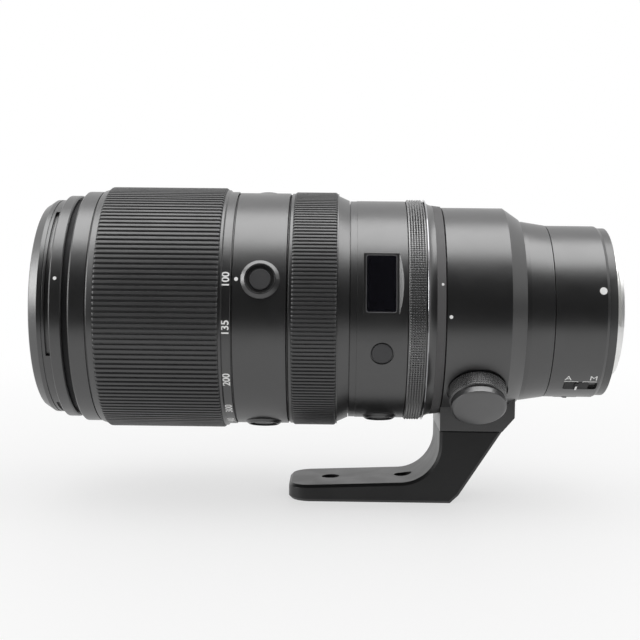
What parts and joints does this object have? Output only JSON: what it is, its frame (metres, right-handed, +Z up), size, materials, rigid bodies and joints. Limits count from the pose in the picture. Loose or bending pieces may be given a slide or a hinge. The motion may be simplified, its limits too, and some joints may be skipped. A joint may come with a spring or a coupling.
{
  "type": "telephoto zoom lens",
  "caption": "Long telephoto zoom lens with turning zoom, focus and control rings, a sliding front barrel, function buttons, a display window and a rotating tripod collar with foot",
  "frame": {"origin": "centre of the mount flange's rear face, on the optical axis", "axes": "+X along the optical axis towards the camera body, so the front glass looks towards -X; +Z up, with the tripod foot below; -Y is the side with the display"},
  "size_m": [0.23, 0.098, 0.1258],
  "materials": {
    "satin_black": "satin black coating",
    "foot_black": "fine-grained black coating",
    "knob_black": "satin black, knurled",
    "trim_gloss": "gloss black",
    "grip_rubber": "matt ribbed rubber",
    "button_plastic": "matt black",
    "slider_plastic": "matt black",
    "bare_metal": "bright turned metal",
    "inner_black": "flat black",
    "inner_metal": "plain machined metal",
    "steel": "plain steel",
    "contact_gold": "gold-plated",
    "contact_plastic": "matt black",
    "seal_rubber": "soft black rubber",
    "lens_glass": "coated optical glass",
    "display_cover": "dark polished window",
    "display_panel": "black screen",
    "board_green": "green circuit board"
  },
  "bodies": {
    "barrel": {"mount_plate": "bare_metal", "mount_screws": "steel", "mount_gasket": "seal_rubber", "contact_block": "contact_plastic", "contact_pins": "contact_gold", "rear_shell": "satin_black", "flare_shell": "satin_black", "collar_track": "inner_metal", "index_ring": "satin_black", "trim_band": "trim_gloss", "panel_shell": "satin_black", "display_glass": "display_cover", "display_module": "display_panel", "fixed_barrel": "satin_black", "name_ring": "satin_black", "barrel_seal": "seal_rubber", "guide_tube": "inner_metal", "main_frame": "inner_metal", "main_board": "board_green", "rear_cell": "inner_black", "rear_elements": "lens_glass", "vr_unit": "inner_black", "iris_housing": "inner_black", "iris_blades": "steel", "focus_motors": "steel"},
    "zoom_ring": {"zoom_ring": "satin_black", "zoom_grip": "grip_rubber", "cam_tube": "inner_metal", "zoom_keys": "steel"},
    "front_barrel": {"front_barrel": "inner_black", "filter_ring": "satin_black", "front_cell": "inner_black", "front_element": "lens_glass", "front_doublet": "lens_glass", "retaining_ring": "inner_black", "front_followers": "steel"},
    "zoom_group": {"zoom_cell": "inner_black", "zoom_elements": "lens_glass"},
    "focus_ring": {"focus_ring": "satin_black", "focus_grip": "grip_rubber"},
    "focus_group": {"focus_cell": "inner_black", "focus_element": "lens_glass"},
    "control_ring": {"control_ring": "satin_black"},
    "vr_frame": {"vr_frame": "inner_black"},
    "vr_cell": {"vr_cell": "inner_black", "vr_element": "lens_glass"},
    "iris_ring": {"iris_ring": "inner_black"},
    "collar": {"collar": "satin_black", "foot": "foot_black", "foot_bolts": "steel", "tripod_inserts": "steel"},
    "collar_knob": {"collar_knob": "knob_black"},
    "fn_button_1": {"fn_button_1": "button_plastic"},
    "fn_button_2": {"fn_button_2": "button_plastic"},
    "fn_button_3": {"fn_button_3": "button_plastic"},
    "fn_button_4": {"fn_button_4": "button_plastic"},
    "side_button": {"side_button": "button_plastic"},
    "display_button": {"display_button": "button_plastic"},
    "focus_mode_slider": {"focus_mode_slider": "slider_plastic"},
    "focus_limit_slider": {"focus_limit_slider": "slider_plastic"}
  },
  "joints": [
    {"name": "zoom_turn", "type": "hinge", "parent": "barrel", "child": "zoom_ring", "pos_m": [-0.175, 0, 0], "axis": [-1, 0, 0], "range_deg": [0, 85]},
    {"name": "front_slide", "type": "slide", "parent": "barrel", "child": "front_barrel", "axis": [-1, 0, 0], "range_m": [0, 0.0601]},
    {"name": "zoom_group_slide", "type": "slide", "parent": "barrel", "child": "zoom_group", "axis": [-1, 0, 0], "range_m": [0, 0.0241]},
    {"name": "focus_turn", "type": "hinge", "parent": "barrel", "child": "focus_ring", "pos_m": [-0.115, 0, 0], "axis": [1, 0, 0], "continuous": true},
    {"name": "focus_slide", "type": "slide", "parent": "barrel", "child": "focus_group", "axis": [1, 0, 0], "range_m": [-0.003, 0.003]},
    {"name": "control_turn", "type": "hinge", "parent": "barrel", "child": "control_ring", "pos_m": [-0.077, 0, 0], "axis": [1, 0, 0], "continuous": true},
    {"name": "vr_sideways", "type": "slide", "parent": "barrel", "child": "vr_frame", "axis": [0, 1, 0], "range_m": [-0.001, 0.001]},
    {"name": "vr_upright", "type": "slide", "parent": "vr_frame", "child": "vr_cell", "axis": [0, 0, 1], "range_m": [-0.001, 0.001]},
    {"name": "iris_turn", "type": "hinge", "parent": "barrel", "child": "iris_ring", "pos_m": [-0.078, 0, 0], "axis": [1, 0, 0], "range_deg": [0, 55]},
    {"name": "collar_turn", "type": "hinge", "parent": "barrel", "child": "collar", "pos_m": [-0.055, 0, 0], "axis": [1, 0, 0], "continuous": true},
    {"name": "knob_turn", "type": "hinge", "parent": "collar", "child": "collar_knob", "pos_m": [-0.05255, -0.03217, -0.03217], "axis": [0, -0.7071, -0.7071], "range_deg": [0, 360]},
    {"name": "fn_press_1", "type": "slide", "parent": "barrel", "child": "fn_button_1", "axis": [0, 0.9573, -0.289], "range_m": [0, 0.0005], "stiffness_N_per_m": 500},
    {"name": "fn_press_2", "type": "slide", "parent": "barrel", "child": "fn_button_2", "axis": [0, -0.289, -0.9573], "range_m": [0, 0.0005], "stiffness_N_per_m": 500},
    {"name": "fn_press_3", "type": "slide", "parent": "barrel", "child": "fn_button_3", "axis": [0, -0.9573, 0.289], "range_m": [0, 0.0005], "stiffness_N_per_m": 500},
    {"name": "fn_press_4", "type": "slide", "parent": "barrel", "child": "fn_button_4", "axis": [0, 0.289, 0.9573], "range_m": [0, 0.0005], "stiffness_N_per_m": 500},
    {"name": "side_press", "type": "slide", "parent": "barrel", "child": "side_button", "axis": [0, 0.289, 0.9573], "range_m": [0, 0.0005], "stiffness_N_per_m": 500},
    {"name": "display_press", "type": "slide", "parent": "barrel", "child": "display_button", "axis": [0, 0.9466, 0.3223], "range_m": [0, 0.0005], "stiffness_N_per_m": 500},
    {"name": "focus_mode_slide", "type": "slide", "parent": "barrel", "child": "focus_mode_slider", "axis": [1, 0, 0], "range_m": [0, 0.0032]},
    {"name": "focus_limit_slide", "type": "slide", "parent": "barrel", "child": "focus_limit_slider", "axis": [1, 0, 0], "range_m": [0, 0.0032]}
  ],
  "couplings": [
    {"joint": "front_slide", "follows": "zoom_turn", "m_per_rad": 0.040444},
    {"joint": "zoom_group_slide", "follows": "zoom_turn", "m_per_rad": 0.016178}
  ]
}
